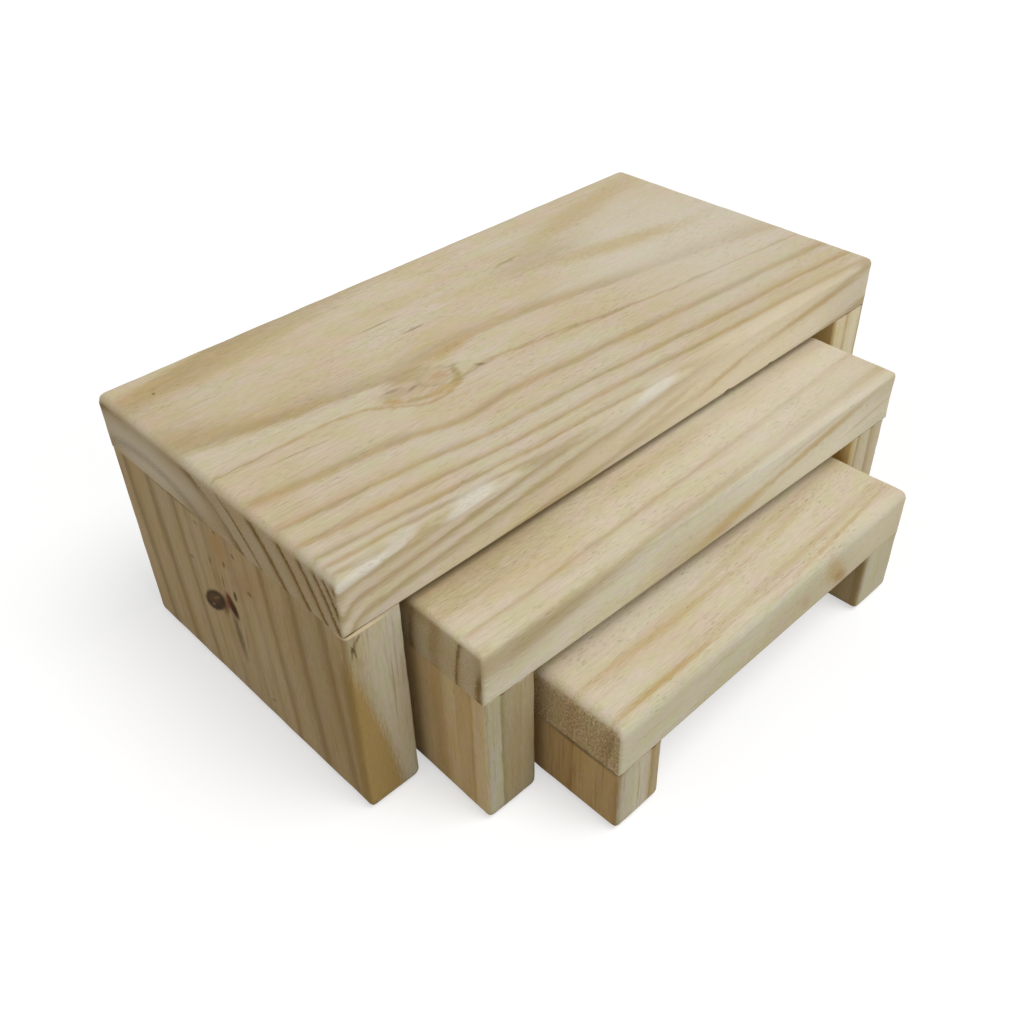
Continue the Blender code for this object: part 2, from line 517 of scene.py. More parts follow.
# %% [markdown]
# ## Turning the medium boards
# The medium stand's boards now turn into their place. With no window the rotate operator ignores the pivot
# setting and turns against the sign of its angle, so it is told its centre and given the angle reversed.

# %% Turn
for (stand, part), board in blanks.items():
    if TURNS[stand]:
        select_only(board)
        bpy.ops.object.mode_set(mode="EDIT")
        bpy.ops.mesh.select_all(action="SELECT")
        bpy.ops.transform.rotate(value=-TURNS[stand], orient_axis="Z", center_override=(0, 0, 0))
        bpy.ops.object.mode_set(mode="OBJECT")
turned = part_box("medium_top")
made = [vertex.co for vertex in blanks["medium", "top"].data.vertices]
print("medium solid from", turned[0][:], "and board from", [min(p[i] for p in made) for i in range(3)])

# %% [markdown]
# ## Drilling for the dowels, and chips
# Each joint is held by three blind dowels, so each board is drilled for them: a bit is a cylinder at the
# dowel's place, a hair wider and longer, and a Boolean takes it away. The same cut makes the two small chips
# that the photograph shows in the lower front arris of the large top, and the bark pocket in the leg under
# its left end. Their middles and radii are in millimetres, the middles from the board's lowest corner.

# %% Drill and chip
BIT_ROOM = 0.0003
BIT_END_ROOM = 0.0010
BIT_FACETS = 32
SMOOTH_ANGLE = math.radians(40)
PLACES = ("front", "middle", "back")
CHIPS = {
    ("large", "top"): [
        ((182.9, 0.0, 0.0), (2.5, 1.3, 1.0), 5),
        ((209.8, 0.0, 0.0), (2.0, 1.2, 0.9), -6),
    ],
    ("large", "left_leg"): [
        ((2.4, -0.1, 75.7), (0.7, 0.6, 3.6), -14),
        ((4.1, -0.1, 79.7), (0.5, 0.5, 2.2), 38),
    ],
}


def drill_bit(dowel):
    """The path of the bit that made one dowel's hole."""
    low, high = (Vector(corner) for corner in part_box(dowel))
    bpy.ops.object.select_all(action="DESELECT")
    bpy.ops.mesh.primitive_cylinder_add(
        vertices=BIT_FACETS,
        radius=(high.x - low.x) / 2 + BIT_ROOM,
        depth=high.z - low.z + 2 * BIT_END_ROOM,
        location=(low + high) / 2,
    )
    return bpy.context.object


def gouge(corner, middle, radii, lean):
    """The lens that a chip leaves empty, placed from a board's corner and leaning in the board's front."""
    bpy.ops.object.select_all(action="DESELECT")
    bpy.ops.mesh.primitive_ico_sphere_add(
        subdivisions=3,
        radius=1,
        location=corner + Vector(middle) / MILLIMETRES,
        rotation=(0, math.radians(lean), 0),
        scale=Vector(radii) / MILLIMETRES,
    )
    return bpy.context.object


def cut_away(board, cutter):
    """Takes a cutter out of a board and throws the cutter away."""
    cut = board.modifiers.new("cut", "BOOLEAN")
    cut.operation = "DIFFERENCE"
    cut.solver = "MANIFOLD"
    cut.object = cutter
    apply_modifiers(board)
    bpy.data.objects.remove(cutter, do_unlink=True)


for (stand, part), board in blanks.items():
    sides = ("left", "right") if part == "top" else (part.split("_")[0],)
    for side in sides:
        for place in PLACES:
            cut_away(board, drill_bit(f"{stand}_{side}_dowel_{place}"))
    for middle, radii, lean in CHIPS.get((stand, part), ()):
        cut_away(board, gouge(boxes[stand, part][0], middle, radii, lean))
    select_only(board)
    bpy.ops.object.shade_smooth_by_angle(angle=SMOOTH_ANGLE)
print("drilled, with", sum(len(board.data.polygons) for board in blanks.values()), "faces")

# %% [markdown]
# ## Where a point lies in its board
# All that follows is measured in millimetres from a board's lowest corner, square to the board: along the
# grain, across the width and through the thickness. A Mapping node moves and turns the Object coordinates
# so. Wood grows in long fibres, so the noise that makes it uneven is drawn out along the grain too.

# %% Palette and place
PALE = srgb(207, 197, 175)
CREAM = srgb(204, 188, 159)
TAN = srgb(154, 131, 80)
AMBER = srgb(174, 140, 82)
GOLD = srgb(184, 152, 92)
OLIVE = srgb(168, 146, 94)
DARK = srgb(92, 72, 42)
PINK = srgb(182, 146, 114)
RUST = srgb(104, 60, 28)
BARK = srgb(54, 35, 18)
WHITE = srgb(220, 219, 212)


def local_place(tree, low, turn):
    """Millimetres from a board's lowest corner, measured square to the board."""
    start = Shade(tree)
    place = start.node("ShaderNodeTexCoord", output="Object")
    sockets = {
        "Vector": place,
        "Location": [-MILLIMETRES * value for value in low],
        "Rotation": (0, 0, -turn),
        "Scale": (MILLIMETRES,) * 3,
    }
    return start.node("ShaderNodeMapping", {"vector_type": "POINT"}, sockets)


def grain_noise(grain, length, width, detail=2.0, roughness=0.5):
    """Noise between 0 and 1, in blotches of a length along the grain and a width across it."""
    along, across, through = grain
    return along.noise(along / length, across / width, through / width, detail, roughness)


print("pale wood is", [round(value, 3) for value in PALE[:3]])

# %% [markdown]
# ## Growing the rings
# A pine adds a pale ring of wood every spring and a thin dense tan one every late summer. A board is a cut
# through those rings, so one formula serves all its faces: the distance of a point from the heart of the
# tree gives the year, and the fraction of the year gives the colour. Where the cut runs along a ring it shows
# broad flames, and where it crosses the rings it shows close lines. The heart isn't quite parallel to the
# board, so it is given at both ends. A list of ring radii holds the good years and the poor ones, and waves
# push the rings aside where they grew round a branch. Rings aren't true circles either, so at the left end
# of a top they can be pushed aside near its lower face.

# %% Rings
WANDER = 1.6
WAVER = 1.5
FEATHER = 1.3
TAIL = 2.5


def heart_distance(grain, length, plan):
    """How far a point lies from the heart of the tree, with the waves and the unevenness of real growth."""
    along, across, through = grain
    (start_across, start_through), (end_across, end_through) = plan["heart"]
    run = along / length
    off = across * (1 - along * plan.get("fan", 0.0)) - (start_across + run * (end_across - start_across))
    deep = through - (start_through + run * (end_through - start_through))
    for at, beside, reach, breadth, push in plan.get("waves", ()):
        off = off + ((along - at) / reach).bell() * ((across - beside) / breadth).bell() * push
    for reach, height, push in plan.get("end_leans", ()):
        off = off + (along / reach).bell() * (through / height).bell() * push
    wander = grain_noise(grain, 70, 22, detail=1.5)
    waver = grain_noise(grain, 16, 2.2, roughness=0.6)
    feather = grain_noise(grain, 7, 0.7, detail=1.5, roughness=0.6)
    uneven = (wander - 0.5) * WANDER + (waver - 0.5) * WAVER + (feather - 0.5) * FEATHER
    return (off * off + deep * deep).root() + uneven


def ring_year(radius, rings):
    """How many rings a radius has passed, as a share of all of them, through the list of ring radii."""
    first, last = rings[0][0], rings[-1][0]
    points = [((ring[0] - first) / (last - first), i / (len(rings) - 1)) for i, ring in enumerate(rings)]
    share = (radius - first) / (last - first)
    return radius.node("ShaderNodeFloatCurve", {"points": points}, {"Value": share})


def late_wood(year, rings):
    """The dense band of each ring: a slow build-up, a dark line at the ring's end and a quick fade."""
    count = len(rings) - 1
    stops = [(i / count, (build, fade, depth, 1)) for i, (_, depth, build, fade) in enumerate(rings)]
    build, fade, depth = year.node("ShaderNodeValToRGB", {"stops": stops}, {"Fac": year}).split()
    off = (year * count + 0.5).fraction() - 0.5
    before = (1 + off / (build * TAIL)).most(0.0) ** 2
    after = (1 - off / fade).rise(0.0, 1.0)
    line = (off / fade).bell()
    return (before.least(1.0) * after * 0.6 + line * 0.5).least(1.0) * depth


def ring_list(*given, depth=0.9, build=0.2, fade=0.12):
    """Rings by radius. A tuple adds its own depth of colour, slow build-up and fade, as shares of a ring."""
    usual = (0.0, depth, build, fade)
    rings = [ring if isinstance(ring, tuple) else (ring,) for ring in given]
    return [ring + usual[len(ring):] for ring in rings]


print("a ring is", ring_list(50)[0])

# %% [markdown]
# ## Knots, spots and streaks
# Knots, resin streaks and bark spots are the marks of one board, so each is placed one by one on the face
# where
# it shows: an ellipse with its middle, its two radii and its lean. Filled it is a spot, drawn out long it is
# a streak, and hollow it is one of the fine rings round a knot. The fibres break up its rim, and it fades a
# few millimetres into the board, as a sanded knot does.

# %% Marks
MARK_DEPTH = (7.0, 3.0)
SOFT = 0.2
CRISP = 0.75


def ellipse(first, second, at, radii, lean):
    """Distance from the middle of an ellipse on a face, where 1 is its rim. It leans by so many degrees."""
    turn = math.radians(lean)
    beside, above = first - at[0], second - at[1]
    long_way = (beside * math.cos(turn) + above * math.sin(turn)) / radii[0]
    short_way = (above * math.cos(turn) - beside * math.sin(turn)) / radii[1]
    return (long_way * long_way + short_way * short_way).root()


def add_marks(colour, faces, rough, marks):
    """Blends in each mark: its face, middle, radii, lean, tint, strength and rim, which is hollow below 0."""
    for face, at, radii, lean, tint, strength, *given in marks:
        rim = given[0] if given else SOFT
        first, second, depth = faces[face]
        reach = ellipse(first, second, at, radii, lean) + rough * (1 - abs(rim) * 0.7)
        shape = ((reach - 1) / rim).bell() if rim < 0 else reach.rise(1.1, rim)
        colour = colour.blend(shape * depth.rise(*MARK_DEPTH) * strength, colour, tint)
    return colour


print("a mark fades from", MARK_DEPTH[1], "to", MARK_DEPTH[0], "mm deep")

# %% [markdown]
# ## Pale wood, open pores and resin canals
# Between its rings pine isn't one colour: it drifts from pale to cream over some centimetres, and from
# greenish to rosy over one. A saw cuts the fibres of an end right across, which leaves a speckle of open
# pores. Along the faces the fine canals that carried resin show as short dark dashes, in clusters.

# %% Pale wood, pores and dashes
GREENISH = (0.97, 1.0, 0.89, 1)
ROSY = (1.03, 0.985, 1.05, 1)
PORE_LENGTH = 3.0
PORE_WIDTH = 0.55
PORE_DARK = (0.80, 0.77, 0.72, 1)
PORE_PALE = (1.10, 1.09, 1.10, 1)


def early_wood(grain, plan):
    """The colour of the wood before its rings are drawn."""
    blotch = grain_noise(grain, 50, 14, detail=3.0).rise(0.32, 0.68)
    hue = grain_noise(grain, 10, 5).rise(0.30, 0.70)
    colour = blotch.blend(blotch, plan.get("pale", PALE), plan.get("cream", CREAM))
    return blotch.blend(1.0, colour, blotch.blend(hue, GREENISH, ROSY), "MULTIPLY")


def open_pores(grain, plan):
    """The speckle of a sawn end, and the tone that it gives the wood."""
    speck = grain_noise(grain, PORE_LENGTH, plan.get("speck", PORE_WIDTH), detail=3.0, roughness=0.7)
    speck = speck.rise(0.35, 0.68)
    return speck, speck.blend(speck, plan.get("end_dark", PORE_DARK), plan.get("end_pale", PORE_PALE))


def canal_dashes(grain, faces, plan):
    """How strong a dash is at a point: in chance clusters, and in the zones that a plan names."""
    cluster = grain_noise(grain, 26, 9, detail=1.0).rise(0.44, 0.62)
    for face, at, radii, lean, amount in plan.get("dash_zones", ()):
        first, second, _ = faces[face]
        cluster = cluster.most(ellipse(first, second, at, radii, lean).rise(1.1, 0.5) * amount)
    dash = grain_noise(grain, 2.6, 0.38, detail=0.0).rise(0.64, 0.80)
    return dash * (0.2 + cluster * 0.8)


print("a pore is about", PORE_WIDTH, "mm wide")

# %% [markdown]
# ## The pine finish
# The finish is laid on as the eye sorts it: the pale wood, the late wood of the rings, the tone and the
# painted light and shade of the front and left faces, the marks, the dashes, and last the fine fibres, which
# also raise the surface a little. The rounded front rims are darkened by a painted shade. Ends are cut across
# the fibres, so there the wood is darker, its rings are sharper and its pores are open.

# %% Pine
# The first colour below is a painted shade for the rounded front rims.
RIM_PAINTED_SHADE = (0.62, 0.60, 0.56, 1)
FIBRE_DARK = (0.92, 0.915, 0.90, 1)
FIBRE_PALE = (1.06, 1.065, 1.075, 1)
OUT_OF_REACH = 99.0
FIBRE_RELIEF = {"Strength": 0.2, "Distance": 0.00025}
SHEEN = 0.03


def pine(name, key, plan):
    """A pine finish for one board, from its ring plan."""
    material = bpy.data.materials.new(name)
    material.use_nodes = True
    tree = material.node_tree
    shader = tree.nodes["Principled BSDF"]
    low, high = boxes[key]
    size = [MILLIMETRES * value for value in high - low]
    place = local_place(tree, low, TURNS[key[0]])
    x, y, z = place.split()
    facing = place.node("ShaderNodeTexCoord", output="Normal").split()
    is_top = key[1] == "top"
    grain = (x, y, z) if is_top else (z, y, x)
    length = size[0] if is_top else size[2]
    cut_off = abs(facing[0] if is_top else facing[2])
    ending, end_face = cut_off.rise(0.80, 0.98), cut_off.rise(0.93, 0.998)
    fronting = (-facing[1]).rise(0.5, 0.9)
    siding = (-facing[0]).rise(0.5, 0.9)

    fibre = grain_noise(grain, 4.5, 0.42, roughness=0.6)
    late = late_wood(ring_year(heart_distance(grain, length, plan), plan["rings"]), plan["rings"])
    colour = early_wood(grain, plan)

    streak = grain_noise(grain, 36, 1.2, roughness=0.65).rise(0.50, 0.78)
    warm = grain_noise(grain, 22, 5, detail=1.5).rise(0.38, 0.62)
    late_tint = place.blend(warm * (1 - fronting * 0.6), plan.get("tan", TAN), plan.get("amber", AMBER))
    colour = place.blend(streak * (1 - ending) * plan.get("streaks", 0.24), colour, late_tint)
    upper_lines, front_lines, end_lines = plan.get("lines", (0.50, 0.66, 1.0))
    lines = upper_lines + fronting * (front_lines - upper_lines) + end_face * (end_lines - upper_lines)
    over_rim = (cut_off * facing[2] * 2).most(0.0) * (0.8 if is_top else 0.0)
    colour = place.blend((late * lines * (1 - over_rim)).least(1.0), colour, late_tint)
    # Painted shade: the rounded upper rim over the front, and on the large top over the left end too, is
    # darkened.
    rim = (facing[2] * (facing[1] + facing[0] * plan.get("end_rim_painted_shade", 0.0)) * -2).most(0.0)
    colour = place.blend(rim * 0.3, colour, RIM_PAINTED_SHADE, "MULTIPLY")
    # Painted light and shade, partly the board's own tone: faces towards the front and towards the left are
    # brightened or darkened by the plan's own factors.
    for amount, tone in ((fronting, "front_tone_and_painted_light"), (siding, "side_tone_and_painted_light")):
        if tone in plan:
            colour = place.blend(amount, colour, (*plan[tone], 1), "MULTIPLY")

    speck, end_tone = open_pores(grain, plan)
    colour = place.blend(ending, colour, end_tone, "MULTIPLY")
    colour = place.blend(end_face * late * late * (0.60 * end_lines), colour, DARK)

    faces = {
        "upper": (x, y, size[2] - z),
        "front": (x, z, y + ending * OUT_OF_REACH),
        "left": (y, z, x),
    }
    colour = add_marks(colour, faces, (fibre - 0.5) * 0.9, plan.get("marks", ()))
    dash = canal_dashes(grain, faces, plan) * (1 - ending)
    colour = place.blend(dash * plan.get("dashes", 0.24), colour, DARK)
    fleck = place.blend(fibre.rise(0.2, 0.8), FIBRE_DARK, FIBRE_PALE)
    colour = place.blend(1.0, colour, fleck, "MULTIPLY")

    height = (fibre - dash + ending * speck) * 0.6
    bump = place.node("ShaderNodeBump", None, {**FIBRE_RELIEF, "Height": height})
    tree.links.new(colour.socket, shader.inputs["Base Color"])
    tree.links.new((0.64 - late * 0.08 + ending * 0.12).socket, shader.inputs["Roughness"])
    tree.links.new(bump.socket, shader.inputs["Normal"])
    shader.inputs["Specular IOR Level"].default_value = SHEEN
    return material


print("pine blends from", CREAM, "to", TAN)

# %% [markdown]
# ## The large stand's boards
# The top is a flat-sawn board with its heart below: flames in the middle, close lines at the front, and an
# eye where a branch was. The left leg shows its heart side, with a dark dead knot, a resin streak running
# down from it and small bark spots, and its front edge is cut through one broad golden band of late wood.
# A plan gives the heart across and through the board at both ends. A wave is its place along and across, its
# reach along and across, and its push.

# %% Plans of the large boards
# In each plan, the front and side factors are painted light and shade on the faces towards the front and the
# left, partly the board's own tone.
PLANS = {
    ("large", "top"): {
        "heart": ((106.6, -61), (103.2, -41)),
        "rings": ring_list(
            45, (69.5, 0.25, 0.12, 0.12), (84.6, 0.88, 0.30, 0.19), (92, 1.0, 0.03, 0.045),
            (102.1, 0.95, 0.26, 0.17), (112.3, 1.0, 0.15, 0.13), (119.4, 1.0, 0.20, 0.17),
            (125.1, 1.0, 0.22, 0.22), (128.7, 1.0, 0.26, 0.28), (132, 0.9, 0.28, 0.28), 136, 140,
        ),
        "waves": [
            (79.9, 50.6, 14.7, 24.2, 6.4),
            (189, 61.4, 126, 11.8, -7.9),
            (139, 76.4, 53, 11.4, -9.7),
            (48, 64, 22, 7, -4.0),
        ],
        "end_leans": [(5.0, 13.0, -3.8)],
        "marks": [
            # soft bands at the back and the left
            ("upper", (50, 128), (100, 8), 6.5, OLIVE, 0.30),
            ("upper", (8, 92), (26, 10), -14, OLIVE, 0.34),
            ("upper", (38, 79.5), (34, 4.5), -14, OLIVE, 0.28),
            # the eye where a branch was, with its rings and cracks
            ("upper", (84, 62), (18, 9.5), -3, PINK, 0.36),
            ("upper", (84, 69), (13, 3.8), 3, OLIVE, 0.50),
            ("upper", (73, 62.5), (9, 4.5), -8, TAN, 0.28),
            ("upper", (106, 71.5), (18, 3.2), 6, GOLD, 0.48),
            ("upper", (92.4, 61), (5.4, 4.4), 0, srgb(184, 146, 100), 0.38),
            ("upper", (98, 59), (6, 2.2), 62, OLIVE, 0.55),
            ("upper", (70, 58.8), (5.5, 2.8), -42, GOLD, 0.60),
            ("upper", (77.5, 54.6), (7.5, 2.3), -20, OLIVE, 0.60),
            ("upper", (86.5, 53.4), (11, 3.6), 3, GOLD, 0.58),
            ("upper", (95, 55.2), (6, 2.2), 28, OLIVE, 0.55),
            ("upper", (91, 61.5), (7.4, 5.0), 0, DARK, 0.15, -0.16),
            ("upper", (73.5, 65), (5.5, 1.0), -6, DARK, 0.36),
            ("upper", (80.2, 61.5), (3.4, 1.2), 18, DARK, 0.38),
            ("upper", (99.5, 63), (5, 0.8), -8, DARK, 0.28),
            ("upper", (107.4, 56.1), (2.6, 1.3), -32, DARK, 0.48),
            # short dark lines, and the paler right half with its flames
            ("upper", (100, 105), (11, 0.6), 0, DARK, 0.40),
            ("upper", (107, 93), (7, 0.8), 0, DARK, 0.45),
            ("upper", (14.5, 124), (0.8, 1.2), 0, DARK, 0.60),
            ("upper", (240, 75), (80, 64), 0, srgb(216, 211, 198), 0.50),
            ("upper", (182, 101), (38, 12), 0, TAN, 0.20),
            ("upper", (224, 118.5), (60, 8.5), 12, srgb(184, 158, 94), 0.34),
            ("upper", (215, 86), (54, 7.5), -12, srgb(188, 162, 94), 0.44),
            ("upper", (170, 108), (9, 1.2), 4, DARK, 0.30),
            ("upper", (29, 58.5), (15, 0.5), -6, DARK, 0.30),
            # the front's pale right half, its golden tongues and the white wedges at its rim
            ("front", (195, 11), (115, 17), 0, srgb(230, 219, 194), 0.60),
            ("front", (180, 9.5), (24, 1.8), 11, GOLD, 0.40),
            ("front", (238, 14.2), (44, 2.1), 3, GOLD, 0.50),
            ("front", (143, 10.5), (28, 2.6), 10, GOLD, 0.30),
            ("front", (7, 19.4), (14, 2.1), 6, WHITE, 0.42, 0.5),
            ("front", (22, 20.6), (13, 1.2), 6, WHITE, 0.42, 0.5),
            ("front", (52, 20.5), (13, 1.8), 4, WHITE, 0.50, 0.5),
            ("front", (137, 20.0), (17, 1.9), 5, WHITE, 0.48, 0.5),
            # painted light on the back of the left end, its arched ring, a paler stripe and a dark line
            ("left", (112, 8), (50, 12.5), 0, srgb(224, 215, 196), 0.85),
            ("left", (110.5, -11.9), (41, 20), 0, DARK, 0.46, -0.065),
            ("left", (66, 10.7), (16, 3.2), 40, srgb(205, 190, 162), 0.42),
            ("left", (50.8, 10), (14, 0.9), 50.5, DARK, 0.50),
        ],
        "dash_zones": [
            ("upper", (105, 92), (34, 9), 0, 1.0),
            ("upper", (60, 88), (34, 8), -20, 0.8),
            ("upper", (118, 30), (22, 4), 0, 0.7),
            ("upper", (190, 95), (30, 10), -10, 0.6),
        ],
        "lines": (0.54, 0.58, 0.9),
        # painted shade on the rounded rim over the left end
        "end_rim_painted_shade": 0.7,
        "front_tone_and_painted_light": (1.07, 1.12, 1.20),
        "end_dark": (0.76, 0.71, 0.62, 1),
        "end_pale": (1.06, 1.03, 0.98, 1),
    },
    ("large", "left_leg"): {
        "heart": ((66, -20), (71, -20)),
        "rings": ring_list(
            16, (21.5, 0.45), (26.5, 0.45), (32.8, 0.9), (47, 1.0), (62.3, 1.0), 74, 84, 93, 101,
            build=0.18, fade=0.18,
        ),
        "tan": srgb(134, 115, 70),
        "amber": srgb(146, 118, 70),
        "streaks": 0.46,
        "lines": (0.60, 0.3, 1.0),
        "front_tone_and_painted_light": (0.88, 0.94, 0.97),
        "side_tone_and_painted_light": (0.89, 0.81, 0.67),
        "marks": [
            # the seam, resin-soaked wood, and the streaks under the knot
            ("left", (92, 82.9), (25, 0.8), 0, DARK, 0.40),
            ("left", (70, 76), (6.5, 13), 4, srgb(186, 140, 76), 0.48),
            ("left", (57, 67), (15, 6), -42, PINK, 0.46),
            ("left", (70.3, 34.5), (17, 2.9), 86.5, srgb(78, 62, 34), 0.64),
            ("left", (65.0, 36), (9, 1.0), 95, DARK, 0.35),
            # the dead knot, its rust, and a small painted highlight on it
            ("left", (76, 44.5), (3.2, 6.4), 18, RUST, 0.65),
            ("left", (74.6, 47), (5.6, 4.2), -30, RUST, 0.50),
            ("left", (83, 43), (10.2, 4.6), -38.7, BARK, 0.95, CRISP),
            ("left", (84, 43.5), (7.4, 2.8), -38, srgb(108, 80, 48), 0.60),
            ("left", (81.5, 45.2), (5.0, 0.8), -40, srgb(150, 122, 90), 0.45),
            ("left", (85.3, 39.6), (1.6, 0.6), -30, PALE, 0.20, CRISP),
            ("left", (70.4, 49), (6.6, 3.6), 66, RUST, 1.0, 0.5),
            ("left", (69.6, 47.5), (5.2, 2.3), 66, BARK, 0.85, 0.4),
            # bark spots
            ("left", (72.6, 58.5), (4.0, 0.6), 92, DARK, 0.70),
            ("left", (66, 56), (2.9, 1.2), 95, DARK, 0.95, 0.5),
            ("left", (68.8, 69), (2.1, 1.1), 100, DARK, 0.72),
            ("left", (60.7, 77.5), (1.6, 1.2), 40, DARK, 0.72),
            ("left", (54.8, 64.5), (1.9, 1.4), 0, RUST, 0.66),
            ("left", (93.5, 57.5), (2.2, 1.2), -20, DARK, 0.55),
            ("left", (79, 64.5), (2.4, 0.9), 95, DARK, 0.65),
            ("left", (70.5, 82), (1.3, 1.1), 0, DARK, 0.65),
            ("left", (83, 79), (2.2, 1.1), 0, DARK, 0.35),
            ("left", (55, 12), (1.8, 1.0), -30, DARK, 0.50),
            # darker wood at the back, painted shade over the front part of the side, the front's golden band,
            # a painted highlight along the seam, and the bark pocket
            ("left", (136.5, 74), (8, 1.6), 88, srgb(140, 100, 44), 0.60),
            ("left", (14, 40), (34, 60), 0, srgb(140, 112, 62), 0.28),
            ("front", (-10.5, 31), (90, 20), 101.7, srgb(162, 137, 86), 0.95, 0.88),
            ("front", (7, 82.6), (10, 0.9), 0, srgb(232, 216, 182), 0.85, 0.5),
            ("front", (2.3, 76), (4.6, 1.0), 76, DARK, 0.70),
            ("front", (4.2, 79.6), (3.0, 0.8), 45, DARK, 0.45),
        ],
    },
    ("large", "right_leg"): {
        "heart": ((30, 60), (30, 60)),
        "rings": ring_list(30, 40, 50, 59.6, 68, *range(76, 133, 7)),
        "front_tone_and_painted_light": (1.23, 1.30, 1.30),
        "side_tone_and_painted_light": (1.45, 1.33, 1.0),
    },
}
print(sum(len(plan.get("marks", ())) for plan in PLANS.values()), "marks on the large stand")

# %% [markdown]
# ## The medium stand's boards
# Its rings stand nearly upright in the top board, so the top shows long straight bands and the front one
# slow tongue of late wood. The left leg is cut where pale sapwood meets darker wood, which makes a two-tone
# edge.

# %% Plans of the medium boards
PLANS.update({
    ("medium", "top"): {
        "heart": ((-60, 0), (-53.8, 0)),
        "fan": 0.0012,
        "rings": ring_list(
            40, 49, (57.3, 0.45, 0.16, 0.2), (62.2, 0.8, 0.3, 0.3), (72.6, 0.8, 0.08, 0.08),
            (84, 0.35, 0.4, 0.3), (95, 0.5), 105, *range(114, 203, 8),
        ),
        "pale": srgb(212, 203, 181),
        "cream": srgb(206, 192, 163),
        "front_tone_and_painted_light": (1.04, 1.12, 1.21),
        "end_dark": (0.78, 0.74, 0.66, 1),
        "end_pale": (1.07, 1.04, 0.98, 1),
        "marks": [
            ("upper", (30, 34), (75, 16), 4, TAN, 0.42),
            ("front", (24, 15), (34, 4), 6, TAN, 0.28),
            ("front", (170, 10), (80, 16), 0, srgb(230, 225, 208), 0.55),
            ("front", (119, 5.6), (33, 4.4), 9.5, srgb(190, 160, 96), 0.56),
            ("front", (172, 14), (47, 2.6), 8, srgb(184, 152, 88), 0.58),
            ("front", (203, 8.5), (20, 1.2), 7, GOLD, 0.35),
            ("front", (160, 16.8), (34, 1.3), 6, OLIVE, 0.22),
            ("front", (113, 3.0), (7, 2.2), 0, PINK, 0.30),
            ("upper", (180, 18), (70, 40), 0, srgb(222, 216, 204), 0.35),
            ("left", (2.2, 17), (3.4, 8), 0, srgb(190, 174, 140), 0.80),
        ],
        "dash_zones": [("upper", (70, 24), (120, 12), 0, 0.9)],
        "dashes": 0.27,
    },
    ("medium", "left_leg"): {
        "heart": ((50, 50), (50, 50)),
        "rings": ring_list(
            30, 40, 48.5, (56.8, 1.0, 0.5, 0.3), (66, 1.0, 1.2, 0.06), 74, *range(82, 111, 7)
        ),
        "front_tone_and_painted_light": (0.76, 0.83, 0.84),
        "side_tone_and_painted_light": (1.10, 1.01, 0.83),
        "streaks": 0.40,
        "marks": [("front", (16, 30), (9.5, 70), 0, srgb(160, 135, 84), 0.40)],
    },
    ("medium", "right_leg"): {
        "heart": ((30, 55), (30, 55)),
        "rings": ring_list(30, 40, 52, 60, 68, *range(76, 133, 7)),
        "front_tone_and_painted_light": (1.0, 1.06, 1.10),
        "side_tone_and_painted_light": (1.38, 1.24, 0.78),
    },
})
print(len(PLANS), "boards planned")

# %% [markdown]
# ## The small stand's boards
# The smallest top is the palest, with golden bands along its front and many short dashes behind them, and
# its front shows the side of a knot. Its left end is strongly speckled, as a coarse saw would leave it.

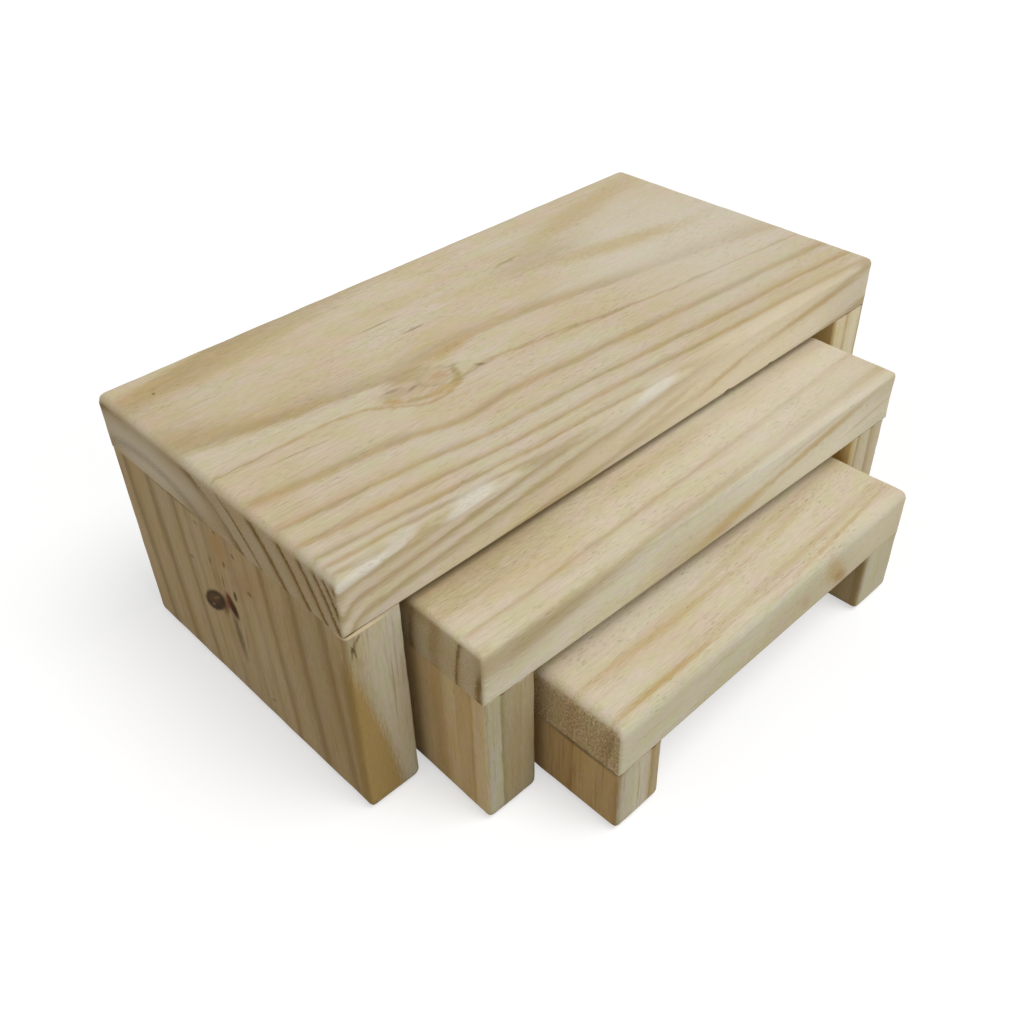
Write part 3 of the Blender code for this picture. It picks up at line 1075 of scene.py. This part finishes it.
# %% Plans of the small boards
PLANS.update({
    ("small", "top"): {
        "heart": ((-50, 4), (-45.5, 4)),
        "fan": 0.0012,
        "rings": ring_list(
            36, (47, 0.3, 0.2, 0.2), (57.2, 0.7, 0.16, 0.15), (72.2, 0.6, 0.15, 0.15), (83, 0.4),
            93, 102, *range(111, 192, 8),
        ),
        "pale": srgb(212, 203, 181),
        "cream": srgb(208, 195, 169),
        "front_tone_and_painted_light": (0.95, 1.03, 1.06),
        "lines": (0.38, 0.5, 0.25),
        "tan": srgb(178, 146, 84),
        "streaks": 0.30,
        "marks": [
            ("front", (119.5, 9.5), (15, 6.4), -52, srgb(186, 152, 96), 0.50),
            ("front", (123.5, 4.8), (7.5, 3.8), -32, srgb(158, 120, 64), 0.46),
            ("front", (101, 6.5), (6, 3.0), -55, PINK, 0.36),
            ("front", (150, 12), (28, 16), 0, srgb(226, 218, 198), 0.40),
            ("upper", (40, 30), (62, 9), 0, srgb(212, 206, 192), 0.35),
            ("upper", (28, 4.8), (38, 1.6), 0, GOLD, 0.60),
            ("upper", (48, 19.5), (62, 2.2), 0, GOLD, 0.38),
            ("upper", (118, 22), (30, 2.6), 6, GOLD, 0.28),
            ("upper", (126, 5), (44, 1.4), 4, GOLD, 0.42),
            ("left", (4.6, 10.5), (12, 2.2), 100, srgb(140, 112, 72), 0.42),
            ("left", (29, 11), (8, 13), 0, srgb(190, 172, 136), 0.45),
            ("left", (16, 0.3), (20, 0.7), 0, DARK, 0.45),
        ],
        "dash_zones": [("upper", (40, 32), (50, 10), 0, 1.0)],
        "dashes": 0.31,
        "speck": 1.0,
        "end_dark": (0.58, 0.50, 0.37, 1),
        "end_pale": (1.13, 1.02, 0.86, 1),
    },
    ("small", "left_leg"): {
        "heart": ((40, 45), (40, 45)),
        "rings": ring_list(
            24, 34, (43, 1.0, 0.4, 0.2), (49, 1.0, 0.7, 0.06), 60, 68, 76, *range(84, 113, 7)
        ),
        "front_tone_and_painted_light": (0.91, 1.02, 1.12),
        "side_tone_and_painted_light": (0.90, 0.75, 0.52),
        "marks": [
            ("front", (18.5, 14), (5.5, 40), 0, srgb(172, 146, 94), 0.45),
            ("left", (16, 28.8), (20, 0.9), 0, DARK, 0.50),
        ],
        "streaks": 0.6,
        "tan": srgb(136, 104, 58),
    },
    ("small", "right_leg"): {
        "heart": ((-40, 30), (-40, 30)),
        "rings": ring_list(30, 40, 52, 64, 74, 83, *range(92, 189, 8)),
        "front_tone_and_painted_light": (0.89, 0.99, 1.02),
        "side_tone_and_painted_light": (1.0, 0.95, 0.80),
    },
})
print(len(PLANS), "boards planned")

# %% [markdown]
# ## Finish each board and put it in place
# Each board gets its own finish, rides on its stand, and takes the place of its plain solid.

# %% Finish the boards
for key, board in blanks.items():
    stand, part = key
    board.data.materials.clear()
    board.data.materials.append(pine(f"pine_{stand}_{part}", key, PLANS[key]))
    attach(board, f"{stand}_stand")
    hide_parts(f"{stand}_{part}")
    f"{stand}_pine_{'top' if part == 'top' else 'leg'}"
print("grain in", len(PLANS), "boards")

# %% [markdown]
# ## Dowels
# Eighteen fluted beech dowels hold the boards together. They can't be seen until a stand is taken apart, but
# they are there, so they get their own finish: close, even beech with short dark flecks along the pin.

# %% Beech finish
FLECKS_A_METRE = (2600, 2600, 420)
TONES_A_METRE = (300, 300, 40)


def beech():
    """The finish of a dowel, whose fibres run up and down."""
    material = bpy.data.materials.new("beech_dowel")
    material.use_nodes = True
    tree = material.node_tree
    shader = tree.nodes["Principled BSDF"]
    start = Shade(tree)
    place = start.node("ShaderNodeTexCoord", output="Object").split()
    fleck = start.noise(*(axis * count for axis, count in zip(place, FLECKS_A_METRE)), detail=1.0)
    fleck = fleck.rise(0.60, 0.72)
    tone = start.noise(*(axis * count for axis, count in zip(place, TONES_A_METRE)), detail=3.0)
    colour = start.blend(tone, srgb(205, 172, 128), srgb(186, 148, 104))
    colour = start.blend(fleck * 0.5, colour, srgb(140, 98, 62))
    tree.links.new(colour.socket, shader.inputs["Base Color"])
    tree.links.new((0.55 + tone * 0.15).socket, shader.inputs["Roughness"])
    return material


beech_finish = beech()
dowels = [node for name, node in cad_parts.items() if "dowel" in name]
for dowel in dowels:
    dowel.data.materials.clear()
    dowel.data.materials.append(beech_finish)
print(len(dowels), "dowels in beech")
